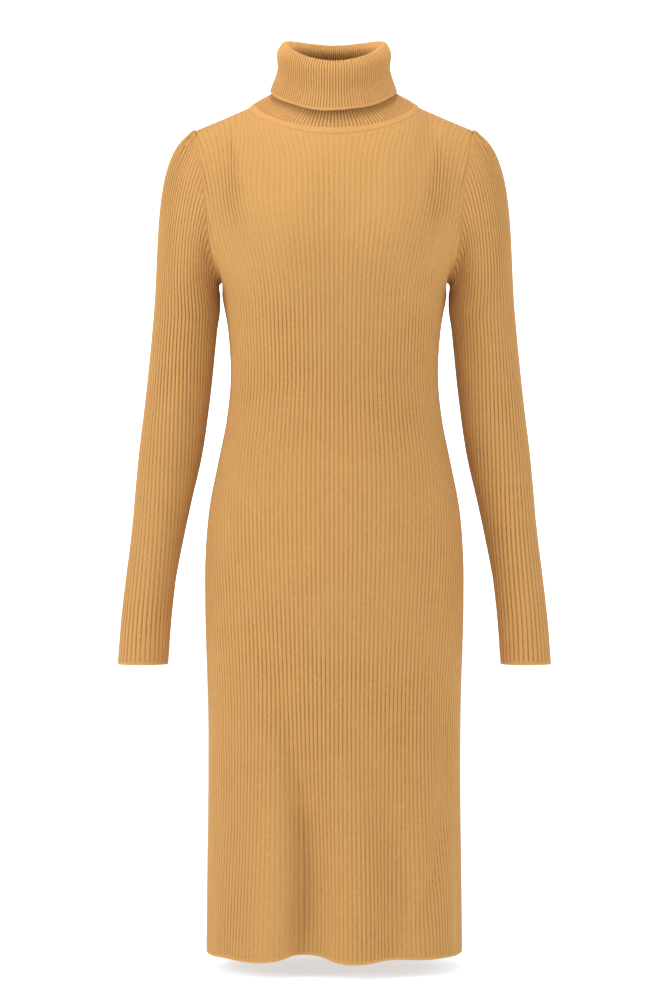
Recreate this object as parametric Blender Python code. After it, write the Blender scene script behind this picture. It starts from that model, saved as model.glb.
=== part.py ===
"""A turtleneck sweater dress in vertical rib knit, filled out as it is worn, with nobody in it.

The frame: +Z up, the front faces -Y, +X is the viewer's right. The origin lies between the two
points where the neck seam meets the shoulder seams. Five pieces of cloth, each a closed wall,
meet edge to edge at their seams: front, back, two sleeves and a folded-over collar.
"""

import math

import bmesh
import bpy
import numpy as np

MM = 0.001
RIGHT, UP = np.array([1.0, 0.0, 0.0]), np.array([0.0, 0.0, 1.0])
FRONT, BACK = -1, 1

# The cloth. A rib's crest stands out by half its height, its groove lies in by the same.
WALL = 1.7 * MM
RIB_HEIGHT = 0.9 * MM
COLLAR_RIB_HEIGHT = 0.7 * MM
SEAM_GAP = 0.3 * MM

# A rib is two columns of points wide. The plain inside keeps one column in so many.
PANEL_RIBS, SLEEVE_RIBS, COLLAR_RIBS = 74, 40, 120
EDGE_SKIP, PANEL_SKIP, SLEEVE_SKIP, COLLAR_SKIP = 2, 4, 4, 8

# The body, up to the level where the armholes begin.
HEM, ARM_LEVEL = -1052 * MM, -237 * MM
SECTION_POWER = 2.2
SECTION_STEPS = 241

# A panel is laid out by place across (-1 and 1 its sides) and level: 0 the hem, 1 the level
# where the arms begin, 2 the notch where the armhole turns up beside a rib, 3 the top edge.
# Half a panel's ribs end at the neck, at the shoulder, and from the notch down to the underarm.
NECK_RIBS, YOKE_RIBS = 15, 29
NECK_SHARE = NECK_RIBS / (PANEL_RIBS / 2)
SHOULDER_SHARE = YOKE_RIBS / (PANEL_RIBS / 2)
NOTCH_TURN = math.radians(128)
NOTCH_SHARE = 0.3  # how far up the yoke's ribs the notch is
ARMHOLE_HOLD = 5  # how fast the armhole's pull on the yoke's ribs fades inwards

# The seam rings, to the middle of the ribs. The neck seam's are at its front, side and back.
NECK_HALF_WIDTH = 104 * MM
NECK_Y = -85 * MM, 0, 72 * MM
NECK_Z = -42 * MM, 0, 15 * MM
NECK_RISE = 26, 62, 21  # degrees by which the cloth's normal points up
SHOULDER_POINT = np.array([173, 0, -29.5]) * MM
UNDERARM_HEIGHT = -223 * MM
ARMHOLE_HALF_DEPTH = 51 * MM
ARMHOLE_FULLNESS = 0.22
ARMHOLE_TOP_TILT = 0.42

# How far a rib runs on in its own direction before it turns towards its end.
YOKE_RUN_UP, YOKE_RUN_IN = 1.1, 0.6
CORNER_TURN = 0.8  # how much the ribs turn square to the neck seam at its sides
CORNER_RUN_IN, CORNER_WIDTH = 0.28, 0.2  # how much further the ribs beside that corner run
CORNER_SOFTNESS = 0.22  # how wide the seams' corner is smoothed away down the yoke
SOFTENING = ((-1, 0.08), (-0.66, 0.14), (-0.33, 0.18), (0, 0.2), (0.33, 0.18), (0.66, 0.14), (1, 0.08))
SLEEVE_RUN_UP, SLEEVE_RUN_IN = 1.15, 0.75
SLEEVE_SQUARE, UNDERARM_SQUARE = 0.3, 2  # how square to the armhole the sleeve's ribs arrive
NOTCH_WIDTH = 0.4  # share of the armhole's ribs that bend to run beside it at the notch
ARMHOLE_FADE, TOP_FADE = 8, 4  # how late the bust fades out towards the yoke's seams
NUDGE = 0.002  # step in place or level over which a surface's slope is read
STRIDE = 4 * MM  # step in height over which a rib's direction is read

# The bust of a general figure.
BUST_OUT, BUST_HEIGHT = 77 * MM, -172 * MM
BUST_REACH, BUST_PROUD = 40 * MM, 15 * MM

SLEEVE_LEVEL = -262 * MM  # below it the sleeve is a stack of level rings
CUFF = -694 * MM

# Rows of points: levels up a panel below the notch and above it, and up a sleeve.
LOWER_LEVELS = (0, 0.2, 0.5, 0.655, 0.78, 0.89, 1)
YOKE_LEVELS = (2.24, 2.51, 2.77, 2.94)
SLEEVE_LEVELS = (0, 0.25, 0.5, 0.75, 1, 1.4, 1.65, 1.82, 1.94)

# Steps along the seams, the same in the two pieces that meet there.
NECK_STEPS = 30  # half way round
ARMHOLE_RIBS = 8  # from the notch down to the underarm
UPPER_ARMHOLE_STEPS = 15


class Table:
    """A short table with named columns in millimetres, read as smooth curves of its first one."""

    def __init__(self, names, *rows):
        self.names = names.split()
        self.rows = np.array(rows, float) * MM

    def read(self, name, at):
        knots = self.rows[:, 0]
        values = self.rows[:, self.names.index(name)]
        slopes = np.gradient(values, knots)
        at = np.clip(at, knots[0], knots[-1])
        low = np.clip(np.searchsorted(knots, at, side="right") - 1, 0, len(knots) - 2)
        span = knots[low + 1] - knots[low]
        t = (at - knots[low]) / span
        rise = values[low + 1] - values[low]
        start, end = slopes[low] * span, slopes[low + 1] * span
        return values[low] + start * t + (3 * rise - 2 * start - end) * t**2 + (start + end - 2 * rise) * t**3


BODY = Table(
    "height half_width front back",
    (-1052, 160, 107, 110),
    (-980, 159, 107, 111),
    (-860, 157, 109, 114),
    (-740, 157.5, 113, 120),
    (-616, 161, 117, 126),
    (-560, 160.5, 117, 124),
    (-500, 155.5, 114, 114),
    (-441, 144, 109, 101),
    (-391, 134, 103, 92),
    (-335, 129, 100, 88),
    (-285, 131.5, 107, 92),
    (-237, 136.5, 115, 99),
    (-200, 142, 119, 103),
)

ARMHOLE = Table(
    "height out",
    (-223, 140),
    (-205, 147),
    (-179, 153),
    (-150, 156.5),
    (-117, 159),
    (-91, 163),
    (-60, 168),
    (-29.5, 173),
)

SLEEVE = Table(
    "height out forward half_width half_depth",
    (-694, 237.5, 26, 31, 33),
    (-641, 234, 19, 31, 33),
    (-591, 229, 10, 31, 33.5),
    (-541, 221.5, 3, 32.5, 35),
    (-491, 214, -1, 35.5, 37),
    (-441, 206, -3, 39, 40),
    (-366, 196, -3, 40, 43),
    (-300, 189, -1, 40, 44),
    (-262, 185.5, 0, 40, 45),
)

# Soft folds of the skirt: where round the body (0 middle front, 1 and -1 the side seams, 2
# middle back), how wide, how deep in mm at the hem (a trough is below zero), how high it
# reaches in mm, how far it drifts round on its way up, and how far it lifts the hem in mm.
FOLD_COLUMNS = ("place", "width", "depth", "reach", "drift", "lift")
FOLDS = (
    (-0.18, 0.145, -17, -690, 0.0, 6.5),
    (-0.47, 0.17, 5, -700, 0.06, -2),
    (0.10, 0.15, 5, -720, -0.04, -2.5),
    (0.33, 0.13, -6, -830, 0.0, 1),
    (0.56, 0.16, 4, -780, -0.05, 0),
    (0.88, 0.09, -5, -790, -0.06, -2),
    (-0.86, 0.10, -4, -860, 0.05, -2),
    (1.35, 0.16, -9, -730, 0.05, 3),
    (1.64, 0.18, 5, -760, 0.02, -1),
    (1.93, 0.15, -12, -700, -0.04, 4),
    (-1.72, 0.17, 5, -740, 0.03, -1),
    (-1.42, 0.15, -8, -800, -0.03, 2),
)
SIDE_DROP = 3 * MM  # how much lower the hem hangs at the side seams
LIFT_REACH = 0.16  # level at which the hem's ups and downs have faded out

# The folded collar, as the middle of its cloth, from the neck seam up the standing tube,
# over the roll at the top and down to the fold's edge: half width, then forward and height
# in mm at the front, the side and the back.
COLLAR_COLUMNS = ("name", "half_width", "y_front", "y_side", "y_back", "z_front", "z_side", "z_back")
COLLAR = (
    ("base", 97.8, -82, 0, 69, -35.5, 3.4, 21),
    ("foot", 72.5, -73, -3, 59, -14.5, 18.5, 33),
    ("stand", 60, -66, -6, 49, 14, 46, 56),
    ("stand_top", 56.2, -60.5, -8, 41, 41, 72.5, 78.5),
    ("roll_top", 62.2, -66.5, -9, 46.5, 47, 78.5, 84.5),
    ("fold_top", 68, -72.5, -9, 52, 41, 72, 78),
    ("fold_side", 69.5, -75, -8, 56, 8, 44, 56),
    ("fold_edge", 78.4, -81, -5, 67, -15.5, 19.5, 33.5),
)


def unit(v):
    return v / np.maximum(np.linalg.norm(v, axis=-1, keepdims=True), 1e-12)


def square_to(v, direction):
    """The part of v at right angles to a unit direction, at unit length."""
    return unit(v - (v * direction).sum(-1, keepdims=True) * direction)


def points(x, y, z):
    return np.stack(np.broadcast_arrays(x, y, z), -1)


def ease(t):
    t = np.clip(t, 0, 1)
    return t * t * (3 - 2 * t)


def all_round(turn, front, side, back):
    """A value that passes smoothly from front to side to back of a ring."""
    c = np.cos(turn)
    return side + (front - back) / 2 * c + ((front + back) / 2 - side) * c * c


def along(ring, turn, step=0.001):
    """Unit directions along a ring, in the sense of its growing turn."""
    return unit(ring(turn + step) - ring(turn - step))


def bridge(start, leave, end, arrive, t):
    """Points on smooth curves from start to end, one for each pair, at a share t of the way."""
    t = t[..., None]
    return (
        (2 * t**3 - 3 * t**2 + 1) * start
        + (t**3 - 2 * t**2 + t) * leave
        + (3 * t**2 - 2 * t**3) * end
        + (t**3 - t**2) * arrive
    )


# ---------------------------------------------------------------- seam rings


def neck_ring(turn):
    """The neck seam, turn 0 at the middle front and a quarter turn at the right side."""
    return points(
        NECK_HALF_WIDTH * np.sin(turn),
        all_round(turn, *NECK_Y),
        all_round(turn, *NECK_Z),
    )


def neck_frame(turn):
    """Points of the neck seam, the cloth's normals there and directions into the collar."""
    run = along(neck_ring, turn)
    rise = np.radians(all_round(turn, *NECK_RISE))
    level = unit(points(run[..., 1], -run[..., 0], 0 * turn))
    normal = square_to(points(*(level[..., i] * np.cos(rise) for i in (0, 1)), np.sin(rise)), run)
    return neck_ring(turn), normal, np.cross(normal, run)


def armhole_ring(turn):
    """The right armhole, turn 0 at the shoulder, a quarter turn at its front edge."""
    half_height = (SHOULDER_POINT[2] - UNDERARM_HEIGHT) / 2
    height = UNDERARM_HEIGHT + half_height * (1 + np.cos(turn))
    depth = ARMHOLE_HALF_DEPTH * np.sin(turn) * (1 - ARMHOLE_FULLNESS * np.cos(turn))
    return points(ARMHOLE.read("out", height), -depth, height)


def armhole_frame(turn):
    """Points of the armhole, the cloth's normals there and directions into the sleeve."""
    run = along(armhole_ring, turn)
    tilt = ARMHOLE_TOP_TILT * ((1 + np.cos(turn)) / 2) ** 2
    normal = square_to(unit(np.cross(run, RIGHT)) + tilt[..., None] * RIGHT, run)
    return armhole_ring(turn), normal, np.cross(normal, run)


# ---------------------------------------------------------------- front and back


def round_body(side, across):
    """A place on a panel as a place round the whole body."""
    return across if side == FRONT else np.sign(across + 1e-9) * 2 - across


def fold_shares(side, across, height):
    """Each fold, how far down it has formed at a height, and how much of it a place has."""
    place = round_body(side, across)
    for row in FOLDS:
        fold = dict(zip(FOLD_COLUMNS, row))
        reach = fold["reach"] * MM
        share = max(0.0, (reach - height) / (reach - HEM))
        middle = fold["place"] + fold["drift"] * (1 - share)
        apart = (place - middle + 2) % 4 - 2
        yield fold, ease(share), np.exp(-((apart / fold["width"]) ** 2))


def fold_depth(side, across, height):
    """How far the folds push the skirt out at a place and height."""
    return sum(f["depth"] * MM * formed * here for f, formed, here in fold_shares(side, across, height))


def hem_lift(side, across):
    """How far the hem lies above its level at a place."""
    lift = sum(f["lift"] * MM * here for f, _, here in fold_shares(side, across, HEM))
    return lift - SIDE_DROP * across**4


def body_section(side, across, height):
    """Points of one panel at one level, evenly spaced ribs on a rounded oval."""
    turn = np.linspace(-math.pi / 2, math.pi / 2, SECTION_STEPS)
    power = 2 / SECTION_POWER
    half_width = BODY.read("half_width", height)
    depth = BODY.read("front" if side == FRONT else "back", height)
    x = half_width * np.sign(turn) * np.abs(np.sin(turn)) ** power
    y = side * depth * np.cos(turn).clip(0) ** power
    run = np.concatenate([[0], np.hypot(np.diff(x), np.diff(y)).cumsum()])
    run = run / run[-1] * 2 - 1
    level = points(np.interp(across, run, x), np.interp(across, run, y), 0)
    level = level * (1 + fold_depth(side, across, height) / np.linalg.norm(level, axis=-1))[:, None]
    return level + height * UP


def mirrored(across, *vectors):
    """Vectors of the right half, turned over where the place across is on the left."""
    hand = np.where(across < 0, -1.0, 1.0)
    return [v * points(hand, 1 + 0 * hand, 1 + 0 * hand) for v in vectors]


def top_edge(side, across):
    """The neck and shoulder seam: points, normals, ways out of the panel, ways of the ribs."""
    out = np.minimum(np.abs(across), SHOULDER_SHARE)
    neck_turn = np.arcsin(np.clip(out / NECK_SHARE, 0, 1))
    seam, normal, way_out = neck_frame(neck_turn if side == FRONT else math.pi - neck_turn)
    k = np.clip((out - NECK_SHARE) / (SHOULDER_SHARE - NECK_SHARE), 0, 1)[:, None]
    shoulder_normal = armhole_frame(0 * out)[1]
    seam = seam + (SHOULDER_POINT - seam) * k
    normal = unit(normal + (shoulder_normal - normal) * k)
    corner_out = neck_frame(math.pi / 2 + 0 * out)[2]
    near_corner = np.where(k > 0, corner_out * (1 - k) ** 2, way_out * ease(out / NECK_SHARE)[:, None])
    own_way = unit(-side * np.cross(normal, RIGHT) + near_corner * CORNER_TURN)
    way_out = np.where(k > 0, [0, -side, 0], way_out)
    return mirrored(across, seam, normal, way_out, own_way)


def armhole_edge(side, turn, hand):
    """The armhole of one panel and hand: points, normals and ways out of the panel."""
    return [v * [hand, 1, 1] for v in armhole_frame(-side * turn)]


def bust(side, place):
    """How far the cloth is pushed forward over the bust."""
    if side == BACK:
        return 0
    height = (place[..., 2] - BUST_HEIGHT) ** 2
    off = [(place[..., 0] - middle) ** 2 + height for middle in (-BUST_OUT, BUST_OUT)]
    return BUST_PROUD * sum(np.exp(-o / (2 * BUST_REACH**2)) for o in off)


def rib_start(side, across):
    """Where the ribs pass the level of the arms, and their directions there."""
    foot = body_section(side, across, ARM_LEVEL)
    return foot, unit(foot - body_section(side, across, ARM_LEVEL - STRIDE))


def armhole_rib(side, out, t):
    """Ribs of the right half that end at the armhole, at a share t of the way to it."""
    q = np.clip((out - SHOULDER_SHARE) / (1 - SHOULDER_SHARE), 0, 1)
    foot, up = rib_start(side, np.maximum(out, SHOULDER_SHARE))
    seam, normal, way_out = armhole_edge(side, NOTCH_TURN + (math.pi - NOTCH_TURN) * q, 1)
    reach = np.linalg.norm(seam - foot, axis=-1)[:, None]
    own_way = square_to(seam - foot, normal)
    beside = unit(side * np.cross(way_out, normal) + own_way)
    own_way = unit(beside + (own_way - beside) * ease(q / NOTCH_WIDTH)[:, None])
    return bridge(foot, up * reach * YOKE_RUN_UP, seam, own_way * reach * YOKE_RUN_IN, t + 0 * out)


def yoke_rib(side, out, t):
    """Ribs of the right half that run up to the shoulder or the neck, at a share t of the way."""

    def free(places):
        total = 0
        for apart, weight in SOFTENING:
            place = places + apart * CORNER_SOFTNESS * (1 - t) * ease(2.5 * t)
            foot, up = rib_start(side, place)
            seam, _, _, own_way = top_edge(side, place)
            reach = np.linalg.norm(seam - foot, axis=-1)[:, None]
            off_corner = (np.abs(place) - NECK_SHARE) / CORNER_WIDTH
            run_in = YOKE_RUN_IN + CORNER_RUN_IN * np.exp(-(off_corner**2))[:, None]
            ends = (foot, up * reach * YOKE_RUN_UP, seam, own_way * reach * run_in)
            total = total + weight * bridge(*ends, t + 0 * place)
        return total

    last = np.array([SHOULDER_SHARE])
    if t < NOTCH_SHARE:
        held = armhole_rib(side, last, t / NOTCH_SHARE)
    else:
        turn = NOTCH_TURN * (1 - (t - NOTCH_SHARE) / (1 - NOTCH_SHARE)) + 0 * last
        held = armhole_edge(side, turn, 1)[0]
    hold = (out / SHOULDER_SHARE) ** ARMHOLE_HOLD
    return free(out) + (held - free(last)) * hold[:, None]


def panel_points(side, across, level):
    """Points of a panel at places across and one level, to the middle of its ribs."""
    if level <= 1:
        row = body_section(side, across, HEM + (ARM_LEVEL - HEM) * level)
        row[:, 2] += hem_lift(side, across) * (1 - ease(level / LIFT_REACH))
        near_seam = 0
    else:
        out = np.abs(across)
        t = NOTCH_SHARE * (level - 1) if level < 2 else NOTCH_SHARE + (1 - NOTCH_SHARE) * (level - 2)
        beyond = (out > SHOULDER_SHARE) & (level <= 2)
        inner = yoke_rib(side, np.minimum(out, SHOULDER_SHARE), t)
        outer = armhole_rib(side, out, min(level - 1, 1))
        row = mirrored(across, np.where(beyond[:, None], outer, inner))[0]
        near_armhole = np.minimum(out / SHOULDER_SHARE, 1) ** ARMHOLE_FADE * ease(level - 1)
        near_seam = np.minimum(near_armhole + t**TOP_FADE, 1)
    row[:, 1] -= bust(side, row) * (1 - near_seam)
    return row


def panel_surface(side, across, level):
    """Points and normals of a panel."""
    half = SHOULDER_SHARE if level > 2 else 1
    left, right = np.maximum(across - NUDGE, -half), np.minimum(across + NUDGE, half)
    low, high = max(level - NUDGE, 0), min(level + NUDGE, 3)
    if level <= 2 < high:
        high = level
    run = panel_points(side, right, level) - panel_points(side, left, level)
    rise = panel_points(side, across, high) - panel_points(side, across, low)
    normal = side * np.cross(rise, run)
    normal[np.abs(across) == 1, 1] = 0
    return panel_points(side, across, level), unit(normal)


def clear_of_seams(side, place):
    """A panel's points, kept half a gap away from the side and shoulder seams."""
    place[..., 1] = side * np.maximum(side * place[..., 1], SEAM_GAP / 2)
    return place


# ---------------------------------------------------------------- sleeves


def sleeve_ring(around, height):
    """A level ring of the right sleeve; around goes from the underarm over the front."""
    turn = np.linspace(-math.pi / 2, 3 * math.pi / 2, 2 * SECTION_STEPS)
    x = SLEEVE.read("half_width", height) * np.sin(turn)
    y = -SLEEVE.read("half_depth", height) * np.cos(turn)
    run = np.concatenate([[0], np.hypot(np.diff(x), np.diff(y)).cumsum()])
    run = run / run[-1]
    return points(
        SLEEVE.read("out", height) + np.interp(around, run, x),
        np.interp(around, run, y) - SLEEVE.read("forward", height),
        height,
    )


def sleeve_points(around, level):
    """Points of the right sleeve: level 0 the cuff, 1 the top level ring, 2 the armhole."""
    if level <= 1:
        return sleeve_ring(around, CUFF + (SLEEVE_LEVEL - CUFF) * level)
    foot = sleeve_ring(around, SLEEVE_LEVEL)
    up = unit(foot - sleeve_ring(around, SLEEVE_LEVEL - STRIDE))
    turn = math.pi * (1 - 2 * around)
    seam, normal, way_in = armhole_frame(turn)
    reach = np.linalg.norm(seam - foot, axis=-1)[:, None]
    square = SLEEVE_SQUARE + (UNDERARM_SQUARE - SLEEVE_SQUARE) * ((1 - np.cos(turn)) / 2) ** 4
    own_way = unit(square_to(seam - foot, normal) - way_in * square[:, None])
    share = level - 1 + 0 * around
    return bridge(foot, up * reach * SLEEVE_RUN_UP, seam, own_way * reach * SLEEVE_RUN_IN, share)


def sleeve_surface(around, level):
    """Points and normals of the right sleeve."""
    run = sleeve_points((around + NUDGE) % 1, level) - sleeve_points((around - NUDGE) % 1, level)
    rise = sleeve_points(around, min(level + NUDGE, 2)) - sleeve_points(around, max(level - NUDGE, 0))
    return sleeve_points(around, level), unit(np.cross(run, rise))


# ---------------------------------------------------------------- collar


def collar_ring(row, turn):
    ring = dict(zip(COLLAR_COLUMNS, row))
    y, z = ([ring[f"{axis}_{place}"] * MM for place in ("front", "side", "back")] for axis in "yz")
    return points(ring["half_width"] * MM * np.sin(turn), all_round(turn, *y), all_round(turn, *z))


def collar_surface(turn):
    """Rings of the collar's cloth above the seam, with normals on the side the seam shows."""
    surface = np.array([neck_ring(turn)] + [collar_ring(row, turn) for row in COLLAR])
    ring = np.roll(surface, -1, axis=1) - np.roll(surface, 1, axis=1)
    normal = unit(np.cross(ring, np.gradient(surface, axis=0)))
    return surface[1:], normal[1:]


# ---------------------------------------------------------------- solids


class Wall:
    """A wall of cloth under construction: rows of vertices, and strips of faces between them."""

    def __init__(self):
        self.vertices, self.faces = [], []

    def row(self, place):
        first = len(self.vertices)
        self.vertices.extend(tuple(p) for p in place)
        return list(range(first, len(self.vertices)))

    def strip(self, low, high, low_at, high_at):
        """Triangles between two rows, matched by their places along the rows."""
        i = j = 0
        while i < len(low) - 1 or j < len(high) - 1:
            next_low = low_at[i] + low_at[i + 1] if i < len(low) - 1 else math.inf
            next_high = high_at[j] + high_at[j + 1] if j < len(high) - 1 else math.inf
            if next_low <= next_high:
                self.faces.append((low[i], low[i + 1], high[j]))
                i += 1
            else:
                self.faces.append((low[i], high[j + 1], high[j]))
                j += 1

    def tube(self, rings):
        """Closed rings joined in turn and back to the first; their places run from 0 up to 1."""
        rings = [(self.row(place), at) for place, at in rings]
        for (low, low_at), (high, high_at) in zip(rings, rings[1:] + rings[:1]):
            self.strip(low + low[:1], high + high[:1], np.append(low_at, 1), np.append(high_at, 1))

    def finish(self, name, colour):
        mesh = bpy.data.meshes.new(name)
        mesh.from_pydata(self.vertices, [], self.faces)
        work = bmesh.new()
        work.from_mesh(mesh)
        bmesh.ops.recalc_face_normals(work, faces=work.faces)
        work.to_mesh(mesh)
        work.free()
        mesh.shade_smooth()
        mesh.set_sharp_from_angle(angle=math.radians(25))
        mesh.materials.append(knit(name, colour))
        piece = bpy.data.objects.new(name, mesh)
        bpy.context.scene.collection.objects.link(piece)


def knit(name, colour):
    material = bpy.data.materials.new(f"{name}_knit")
    material.use_nodes = True
    shader = material.node_tree.nodes["Principled BSDF"]
    shader.inputs["Base Color"].default_value = (*colour, 1)
    shader.inputs["Roughness"].default_value = 0.9
    shader.inputs["Metallic"].default_value = 0
    return material


def ribbed(surface, normal, height):
    """Outer rows: crests on the odd columns, grooves on the even ones."""
    crest = np.arange(len(surface)) % 2 - 0.5
    return surface + normal * (height * crest)[:, None]


def inside(surface, normal):
    return surface - normal * (WALL + RIB_HEIGHT / 2)


def panel_face(wall, side, outer):
    """One face of a panel, outer or inner. Gives its edge: the hem, then on round by the right."""
    columns = np.arange(2 * PANEL_RIBS + 1)
    first, last = PANEL_RIBS - 2 * YOKE_RIBS, PANEL_RIBS + 2 * YOKE_RIBS
    sink = 0 if outer else WALL + RIB_HEIGHT / 2

    def full_row(level, chosen):
        surface, normal = panel_surface(side, columns / PANEL_RIBS - 1, level)
        place = ribbed(surface, normal, RIB_HEIGHT) if outer else inside(surface, normal)
        return wall.row(clear_of_seams(side, place)[chosen]), columns[chosen]

    def armhole(turns, hand):
        seam, normal, way_out = armhole_edge(side, turns, hand)
        return wall.row(clear_of_seams(side, seam - way_out * SEAM_GAP / 2 - normal * sink))

    rows = []
    for level in LOWER_LEVELS:
        skip = 1 if outer else PANEL_SKIP if 0 < level <= 1 else EDGE_SKIP
        rows.append(full_row(level, slice(None, None, skip)))
    for (low, low_at), (high, high_at) in zip(rows, rows[1:]):
        wall.strip(low, high, low_at, high_at)

    below = NOTCH_TURN + (math.pi - NOTCH_TURN) * np.arange(ARMHOLE_RIBS + 1) / ARMHOLE_RIBS
    beside = NOTCH_TURN * (1 - np.arange(1, UPPER_ARMHOLE_STEPS) / UPPER_ARMHOLE_STEPS)
    under = {hand: armhole(below, hand) for hand in (-1, 1)}
    along_arm = {hand: armhole(beside, hand) for hand in (-1, 1)}
    step = 1 if outer else EDGE_SKIP
    notch, notch_at = full_row(2, slice(first + step, last, step))
    notch = under[-1][::-1] + notch + under[1]
    arm_at = first - 2 * np.arange(ARMHOLE_RIBS + 1)
    notch_at = np.concatenate([arm_at[::-1], notch_at, 2 * PANEL_RIBS - arm_at])
    wall.strip(rows[-1][0], notch, rows[-1][1], notch_at)

    beyond = ARMHOLE_RIBS + 1
    yoke = [(notch[beyond:-beyond], notch_at[beyond:-beyond])]
    yoke += [full_row(level, slice(first + step, last, step)) for level in YOKE_LEVELS]
    for (low, low_at), (high, high_at) in zip(yoke, yoke[1:]):
        wall.strip(low, high, low_at, high_at)

    top_at = top_places()
    seam, normal, way_out, _ = top_edge(side, top_at / PANEL_RIBS - 1)
    seam = seam - way_out * SEAM_GAP / 2 - normal * sink
    for end, hand in ((0, -1), (-1, 1)):
        corner, corner_normal, corner_out = armhole_edge(side, np.zeros(1), hand)
        seam[end] = (corner - corner_out * SEAM_GAP / 2 - corner_normal * sink)[0]
    top = wall.row(clear_of_seams(side, seam))
    wall.strip(yoke[-1][0], top[1:-1], yoke[-1][1], top_at[1:-1])
    for hand, end in ((-1, 0), (1, -1)):
        column = [row[end] for row, _ in yoke]
        edge = [under[hand][0]] + along_arm[hand] + [top[end]]
        column.append(top[1:-1][end])
        wall.strip(column, edge, (2, *YOKE_LEVELS, 3), np.linspace(2, 3, len(edge)))

    sides = {end: [row[end] for row, _ in rows] for end in (0, -1)}
    return [
        rows[0],
        (sides[-1] + under[1][::-1], None),
        ([under[1][0]] + along_arm[1] + [top[-1]], None),
        (top[::-1], None),
        ([top[0]] + along_arm[-1][::-1] + [under[-1][0]], None),
        (under[-1] + sides[0][::-1], None),
    ]


def top_places():
    """Columns of the neck and shoulder seam's points, closer together at the neck's sides."""
    turn = np.linspace(-1, 1, NECK_STEPS + 1) * math.pi / 2
    shoulder = 2 * np.arange(NECK_RIBS + 1, YOKE_RIBS + 1)
    return PANEL_RIBS + np.concatenate([-shoulder[::-1], 2 * NECK_RIBS * np.sin(turn), shoulder])


def make_panel(name, side, colour):
    wall = Wall()
    edges = zip(panel_face(wall, side, True), panel_face(wall, side, False))
    for (outer, outer_at), (inner, inner_at) in edges:
        if outer_at is None:
            outer_at = inner_at = range(len(outer))
        wall.strip(outer, inner, outer_at, inner_at)
    wall.finish(name, colour)


def make_sleeve(name, hand, colour):
    around = np.arange(2 * SLEEVE_RIBS) / (2 * SLEEVE_RIBS)
    lower = NOTCH_TURN + (math.pi - NOTCH_TURN) * np.arange(ARMHOLE_RIBS, 0, -1) / ARMHOLE_RIBS
    upper = NOTCH_TURN * np.arange(UPPER_ARMHOLE_STEPS, -1, -1) / UPPER_ARMHOLE_STEPS
    turn = np.concatenate([lower, upper, -upper[-2::-1], -lower[:0:-1]])
    places = (1 - turn / math.pi) / 2
    seam, seam_normal, way_in = armhole_frame(turn)
    seam = seam + way_in * SEAM_GAP / 2
    rings = []
    for level in SLEEVE_LEVELS:
        rings.append((ribbed(*sleeve_surface(around, level), RIB_HEIGHT), around))
    rings += [(seam, places), (inside(seam, seam_normal), places)]
    for level in reversed(SLEEVE_LEVELS):
        skip = SLEEVE_SKIP if level else EDGE_SKIP
        rings.append((inside(*sleeve_surface(around, level))[::skip], around[::skip]))
    wall = Wall()
    wall.tube([(ring * [hand, 1, 1], at) for ring, at in rings])
    wall.finish(name, colour)


def make_collar(name, colour):
    around = np.arange(2 * COLLAR_RIBS) / (2 * COLLAR_RIBS)
    surface, normal = collar_surface(2 * math.pi * around)
    levels = [row[0] for row in COLLAR]
    under_fold, over_roll = levels.index("foot"), levels.index("roll_top")
    seam_side = [ribbed(s, n, COLLAR_RIB_HEIGHT) + n * WALL / 2 for s, n in zip(surface, normal)]
    worn_side = [ribbed(s, -n, COLLAR_RIB_HEIGHT) - n * WALL / 2 for s, n in zip(surface, normal)]
    places = np.arange(2 * NECK_STEPS) / (2 * NECK_STEPS)
    seam, seam_normal, way_in = neck_frame(2 * math.pi * places)
    seam = seam + way_in * SEAM_GAP / 2
    rings = [(seam, places)]
    for k, row in enumerate(seam_side):
        skip = 1 if k <= under_fold else EDGE_SKIP if k == len(levels) - 1 else COLLAR_SKIP
        rings.append((row[::skip], around[::skip]))
    for k in reversed(range(len(levels))):
        skip = 1 if k >= over_roll else COLLAR_SKIP
        rings.append((worn_side[k][::skip], around[::skip]))
    rings.append((inside(seam, seam_normal), places))
    wall = Wall()
    wall.tube(rings)
    wall.finish(name, colour)


CAMEL = (0.624, 0.318, 0.104)
SLEEVE_CAMEL = (0.58, 0.29, 0.093)

for old in list(bpy.data.objects):
    bpy.data.objects.remove(old, do_unlink=True)

make_panel("front", FRONT, CAMEL)
make_panel("back", BACK, CAMEL)
make_sleeve("sleeve_left", -1, SLEEVE_CAMEL)
make_sleeve("sleeve_right", 1, SLEEVE_CAMEL)
make_collar("collar", SLEEVE_CAMEL)
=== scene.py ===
"""The finished look of a turtleneck sweater dress in vertical rib knit, on its solids' form.

Each piece of cloth is a thin shell on the surface its solid follows, with every rib, the seams,
the linked band round the neck, the rolled edges and the main creases in its form, and the
stitches, fuzz and mottled tones of the yarn, with painted shade in its grooves, in its material.
"""

import math

import bmesh
import bpy
import numpy as np
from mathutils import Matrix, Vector, kdtree


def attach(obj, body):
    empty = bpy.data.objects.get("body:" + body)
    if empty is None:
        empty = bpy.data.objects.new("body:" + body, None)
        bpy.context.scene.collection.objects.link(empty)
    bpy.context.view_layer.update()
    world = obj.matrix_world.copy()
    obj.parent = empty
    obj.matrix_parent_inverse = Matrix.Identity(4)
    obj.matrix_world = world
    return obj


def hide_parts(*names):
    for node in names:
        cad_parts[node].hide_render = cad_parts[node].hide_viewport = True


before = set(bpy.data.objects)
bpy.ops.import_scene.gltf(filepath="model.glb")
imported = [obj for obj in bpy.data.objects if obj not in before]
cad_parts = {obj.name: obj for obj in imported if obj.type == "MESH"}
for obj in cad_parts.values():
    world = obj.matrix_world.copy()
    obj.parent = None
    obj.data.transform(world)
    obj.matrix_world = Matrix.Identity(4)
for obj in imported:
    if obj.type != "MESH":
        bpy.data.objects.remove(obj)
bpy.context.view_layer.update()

MM = 0.001
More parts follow.
